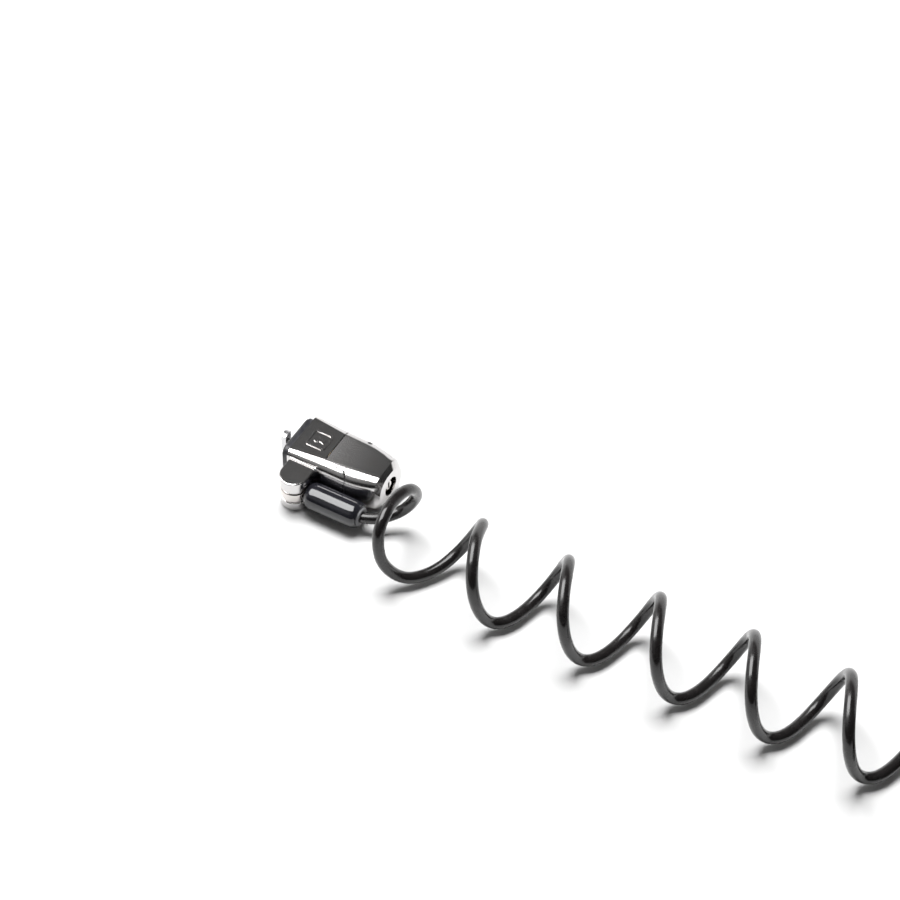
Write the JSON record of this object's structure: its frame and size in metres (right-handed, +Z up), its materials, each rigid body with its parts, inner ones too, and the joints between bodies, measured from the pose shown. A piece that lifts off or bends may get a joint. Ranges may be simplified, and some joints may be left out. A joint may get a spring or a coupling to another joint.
{
  "type": "laptop cable lock",
  "caption": "Keyed laptop cable lock: chromed head with a T-bar nose, a pivoting and swivelling cable link, and a self-coiling steel cable that ends in a loop.",
  "frame": {"origin": "on the surface that the lock lies on, under the middle of the lock head and its link", "axes": "+X along the lock head from its nose to its key end, +Y across it from the pivot ears to the far side, +Z up"},
  "size_m": [0.3492, 0.0408, 0.0255],
  "materials": {
    "chromed_housing": "bright chrome plating on die-cast zinc, polished",
    "chromed_link": "bright nickel-chrome plating on steel",
    "chromed_post": "polished, plated",
    "steel": "turned steel, satin",
    "dark_steel": "blackened steel, satin",
    "brass": "turned brass",
    "dark_collar": "black moulded plastic, semi-matt",
    "pad_rubber": "matt black rubber",
    "black_sleeve": "glossy black moulded plastic",
    "grey_ring": "dark grey plastic, satin",
    "cable_jacket": "glossy black plastic coating, slightly warm",
    "steel_rope": "stranded steel",
    "aluminium_crimp": "pressed aluminium"
  },
  "bodies": {
    "cable": {"crimp_ferrule": "steel", "swivel_bush": "dark_steel", "cable_core": "steel_rope", "cable_sleeve": "black_sleeve", "sleeve_end_ring": "grey_ring", "cable_lead": "cable_jacket", "cable_coil": "cable_jacket", "cable_coil_closed": "cable_jacket", "cable_tail": "cable_jacket", "loop_crimp": "aluminium_crimp", "loop_crimp_cover": "black_sleeve", "cable_loop": "cable_jacket"},
    "link": {"cable_link": "chromed_link", "pivot_washers": "steel"},
    "lock_head": {"front_housing": "chromed_housing", "rear_housing": "chromed_housing", "nose_collar": "dark_collar", "face_pad": "pad_rubber", "guide_pegs": "steel", "front_bush": "brass", "stop_ring": "steel", "barrel_shell": "brass", "barrel_retaining_pin": "dark_steel", "housing_dowels": "steel", "pin_stator": "brass", "driver_pins": "steel", "pin_springs": "steel", "pivot_pin": "steel"},
    "rotor": {"t_bar": "steel", "drive_dog": "steel", "dog_pin": "steel", "spindle": "chromed_post", "spindle_clip": "steel", "key_rotor": "dark_steel", "key_pins": "brass"}
  },
  "joints": [
    {"name": "cable_swivel", "type": "hinge", "parent": "cable", "child": "link", "pos_m": [0, -0.0081, 0.0048], "axis": [1, 0, 0], "continuous": true},
    {"name": "link_pivot", "type": "hinge", "parent": "link", "child": "lock_head", "pos_m": [-0.0057, -0.0081, 0.005], "axis": [0, 0, 1], "range_deg": [0, 175]},
    {"name": "key_turn", "type": "hinge", "parent": "lock_head", "child": "rotor", "pos_m": [0, 0.0041, 0.00615], "axis": [1, 0, 0], "range_deg": [0, 90]}
  ]
}
